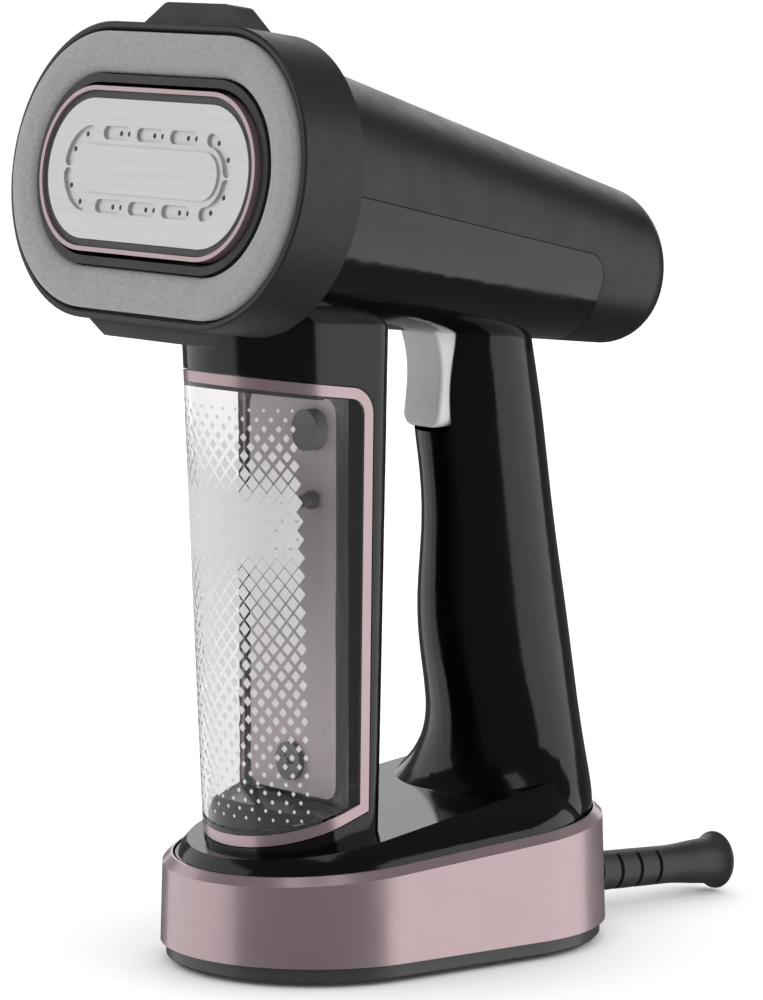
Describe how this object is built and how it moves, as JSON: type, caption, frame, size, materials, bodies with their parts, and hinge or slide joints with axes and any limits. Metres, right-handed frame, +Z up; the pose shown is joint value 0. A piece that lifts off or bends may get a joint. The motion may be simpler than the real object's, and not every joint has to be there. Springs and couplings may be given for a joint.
{
  "type": "garment steamer",
  "caption": "Standing handheld garment steamer with an oval steam plate, clip-on lint pad, removable water tank, loop handle with trigger and an oval base.",
  "frame": {"origin": "on the table under the middle of the base", "axes": "+Z up, the steam plate faces -Y and the cord guard leaves at +Y, X across the object"},
  "size_m": [0.1514, 0.2426, 0.3023],
  "materials": {
    "satin_black": "satin",
    "gloss_black": "gloss",
    "mauve": "satin metallic",
    "dark_base": "satin",
    "foot_rubber": "matt",
    "frame_grey": "satin",
    "lint_fabric": "felt",
    "seal_rubber": "matt",
    "plate_steel": "satin",
    "element_steel": "plain",
    "cast_aluminium": "cast",
    "screw_steel": "zinc plated",
    "brass_fitting": "plain",
    "thermostat_white": "ceramic",
    "tank_clear": "clear",
    "tank_smoke": "translucent",
    "plug_rubber": "matt",
    "valve_white": "plain",
    "valve_grey": "satin",
    "spring_steel": "drawn",
    "inner_black": "matt",
    "copper_winding": "enamelled",
    "hose_silicone": "translucent",
    "trigger_grey": "satin",
    "board_green": "lacquered",
    "button_grey": "satin",
    "guard_black": "satin"
  },
  "bodies": {
    "body": {"barrel_cover": "satin_black", "base_band": "mauve", "chamber_cover": "cast_aluminium", "chamber_gasket": "seal_rubber", "clamp_posts": "inner_black", "clamp_screws": "screw_steel", "collar_ring": "mauve", "control_board": "board_green", "cord_clamp": "inner_black", "cord_guard": "guard_black", "cover_screws": "screw_steel", "delivery_hose": "hose_silicone", "docking_socket": "inner_black", "foot_pad": "foot_rubber", "heat_shield": "element_steel", "heater_block": "cast_aluminium", "heating_element": "element_steel", "housing_left": "gloss_black", "housing_right": "gloss_black", "housing_screws": "screw_steel", "nozzle_housing": "satin_black", "plate_seal": "seal_rubber", "power_switch": "inner_black", "pump_coil": "copper_winding", "pump_mounts": "plug_rubber", "pump_spring": "spring_steel", "pump_tube": "valve_white", "pump_yoke": "element_steel", "socket_ring": "seal_rubber", "sole_plate": "dark_base", "sole_screws": "screw_steel", "spring_post": "inner_black", "steam_plate": "plate_steel", "suction_hose": "hose_silicone", "terminal_block": "valve_white", "thermal_fuse": "element_steel", "thermostat": "thermostat_white", "trigger_pin": "spring_steel", "trigger_spring": "spring_steel", "trigger_switch": "inner_black", "water_inlet": "brass_fitting"},
    "pad_attachment": {"pad_frame": "frame_grey", "lint_pad": "lint_fabric"},
    "tank": {"tank_shell": "tank_clear", "tank_back": "tank_smoke", "tank_trim": "mauve", "tank_gasket": "seal_rubber", "filler_plug": "plug_rubber", "outlet_spigot": "valve_grey", "spring_seat": "valve_grey", "poppet_spring": "spring_steel"},
    "poppet": {"outlet_poppet": "valve_grey"},
    "pump_armature": {"pump_plunger": "element_steel"},
    "trigger": {"trigger": "trigger_grey"},
    "trigger_plunger": {"switch_plunger": "valve_white"},
    "power_button": {"power_button": "button_grey"},
    "power_plunger": {"power_switch_plunger": "valve_white"}
  },
  "joints": [
    {"name": "pad_release", "type": "slide", "parent": "body", "child": "pad_attachment", "axis": [0, -0.988, 0.1547], "range_m": [0, 0.045]},
    {"name": "tank_release", "type": "slide", "parent": "body", "child": "tank", "axis": [0, -1, 0], "range_m": [0, 0.06]},
    {"name": "poppet_lift", "type": "slide", "parent": "tank", "child": "poppet", "axis": [0, -1, 0], "range_m": [0, 0.0015], "stiffness_N_per_m": 200, "springref_m": -0.001, "deforming": ["poppet_spring"]},
    {"name": "trigger_press", "type": "hinge", "parent": "body", "child": "trigger", "pos_m": [0, 0.0265, 0.1965], "axis": [1, 0, 0], "range_deg": [0, 6], "stiffness_Nm_per_rad": 0.6, "springref_deg": -8.59, "deforming": ["trigger_spring"]},
    {"name": "switch_press", "type": "slide", "parent": "body", "child": "trigger_plunger", "axis": [0, 1, 0], "range_m": [0, 0.0027]},
    {"name": "power_press", "type": "slide", "parent": "body", "child": "power_button", "axis": [0, -1, 0], "range_m": [0, 0.0008], "stiffness_N_per_m": 800, "springref_m": -0.0005},
    {"name": "power_switch_press", "type": "slide", "parent": "body", "child": "power_plunger", "axis": [0, -1, 0], "range_m": [0, 0.0008]},
    {"name": "pump_stroke", "type": "slide", "parent": "body", "child": "pump_armature", "axis": [1, 0, 0], "range_m": [-0.0015, 0.0015], "stiffness_N_per_m": 1000, "deforming": ["pump_spring"]}
  ],
  "couplings": [
    {"joint": "switch_press", "follows": "trigger_press", "m_per_rad": 0.0245},
    {"joint": "power_switch_press", "follows": "power_press", "ratio": 1}
  ]
}
